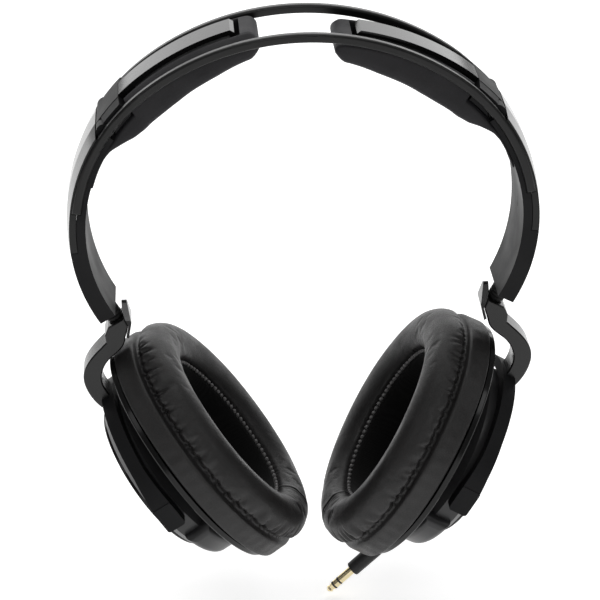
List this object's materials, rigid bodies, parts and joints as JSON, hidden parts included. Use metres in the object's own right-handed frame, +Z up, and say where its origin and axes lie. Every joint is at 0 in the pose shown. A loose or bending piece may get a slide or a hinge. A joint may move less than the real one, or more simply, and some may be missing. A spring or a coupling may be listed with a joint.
{
  "type": "over-ear headphones",
  "caption": "Over-ear headphones: twin thin hoops between curved arms, sprung padded wings, S-shaped hangers, forked oval cups with ring pads and a short plug stub.",
  "frame": {"origin": "midway between the two ears, at the height of the ear pads' centres", "axes": "+Z up through the headband, -Y the front, +X the wearer's left-hand cup with the plug"},
  "size_m": [0.1814, 0.09, 0.2514],
  "materials": {
    "bow_coat": "satin black coating on spring steel",
    "satin_plastic": "satin black",
    "gloss_plastic": "gloss black",
    "screw_steel": "black",
    "pin_steel": "plain",
    "pad_soft": "matte soft black foam skin",
    "neck_rubber": "matte black",
    "magnet_steel": "plated",
    "film": "translucent film",
    "grille_metal": "black",
    "felt": "felt",
    "lining_fabric": "open weave black",
    "leatherette": "soft grained black",
    "boot_rubber": "satin black",
    "jack_gold": "gold flashed",
    "insulator": "black"
  },
  "bodies": {
    "headband": {"front_bow": "bow_coat", "rear_bow": "bow_coat", "left_arm_shell": "satin_plastic", "left_arm_cover": "gloss_plastic", "left_arm_screws": "screw_steel", "left_root_pad": "pad_soft", "left_wing_pin": "pin_steel", "left_wing_spring": "pin_steel", "right_arm_shell": "satin_plastic", "right_arm_cover": "gloss_plastic", "right_arm_screws": "screw_steel", "right_root_pad": "pad_soft", "right_wing_pin": "pin_steel", "right_wing_spring": "pin_steel"},
    "left_wing": {"left_wing_carrier": "satin_plastic", "left_wing_plate": "gloss_plastic", "left_wing_pad": "pad_soft"},
    "left_hanger": {"left_swivel_pin": "neck_rubber", "left_hanger": "gloss_plastic", "left_hanger_cover": "gloss_plastic", "left_fork": "gloss_plastic", "left_pivot_pins": "pin_steel"},
    "left_cup": {"left_housing": "gloss_plastic", "left_back_frame": "satin_plastic", "left_outer_cap": "gloss_plastic", "left_flange": "satin_plastic", "left_housing_screws": "screw_steel", "left_driver_frame": "satin_plastic", "left_driver_magnet": "magnet_steel", "left_diaphragm": "film", "left_driver_grille": "grille_metal", "left_damping_felt": "felt", "left_pad_lining": "lining_fabric", "left_ear_pad": "leatherette"},
    "right_wing": {"right_wing_carrier": "satin_plastic", "right_wing_plate": "gloss_plastic", "right_wing_pad": "pad_soft"},
    "right_hanger": {"right_swivel_pin": "neck_rubber", "right_hanger": "gloss_plastic", "right_hanger_cover": "gloss_plastic", "right_fork": "gloss_plastic", "right_pivot_pins": "pin_steel"},
    "right_cup": {"right_housing": "gloss_plastic", "right_back_frame": "satin_plastic", "right_outer_cap": "gloss_plastic", "right_flange": "satin_plastic", "right_housing_screws": "screw_steel", "right_driver_frame": "satin_plastic", "right_driver_magnet": "magnet_steel", "right_diaphragm": "film", "right_driver_grille": "grille_metal", "right_damping_felt": "felt", "right_pad_lining": "lining_fabric", "right_ear_pad": "leatherette", "plug_boot": "boot_rubber", "plug_sleeve": "jack_gold", "plug_insulator_back": "insulator", "plug_ring": "jack_gold", "plug_insulator_front": "insulator", "plug_tip": "jack_gold"}
  },
  "joints": [
    {"name": "left_wing_flex", "type": "hinge", "parent": "headband", "child": "left_wing", "pos_m": [-0.07339, 0, 0.1375], "axis": [0, -1, 0], "range_deg": [-3, 10], "stiffness_Nm_per_rad": 0.35, "springref_deg": -6.88},
    {"name": "left_swivel", "type": "hinge", "parent": "headband", "child": "left_hanger", "pos_m": [-0.07753, 0, 0.05928], "axis": [0.4955, 0, -0.8686], "range_deg": [-20, 20]},
    {"name": "right_wing_flex", "type": "hinge", "parent": "headband", "child": "right_wing", "pos_m": [0.07339, 0, 0.1375], "axis": [0, 1, 0], "range_deg": [0, 13], "stiffness_Nm_per_rad": 0.35, "springref_deg": -6.88},
    {"name": "right_swivel", "type": "hinge", "parent": "headband", "child": "right_hanger", "pos_m": [0.07753, 0, 0.05928], "axis": [-0.4955, 0, -0.8686], "range_deg": [-20, 20]},
    {"name": "left_cup_tilt", "type": "hinge", "parent": "left_hanger", "child": "left_cup", "pos_m": [-0.0576, 0, -0.0133], "axis": [0, 1, 0], "range_deg": [-1, 16]},
    {"name": "right_cup_tilt", "type": "hinge", "parent": "right_hanger", "child": "right_cup", "pos_m": [0.0576, 0, -0.0133], "axis": [0, -1, 0], "range_deg": [-4, 14]}
  ]
}
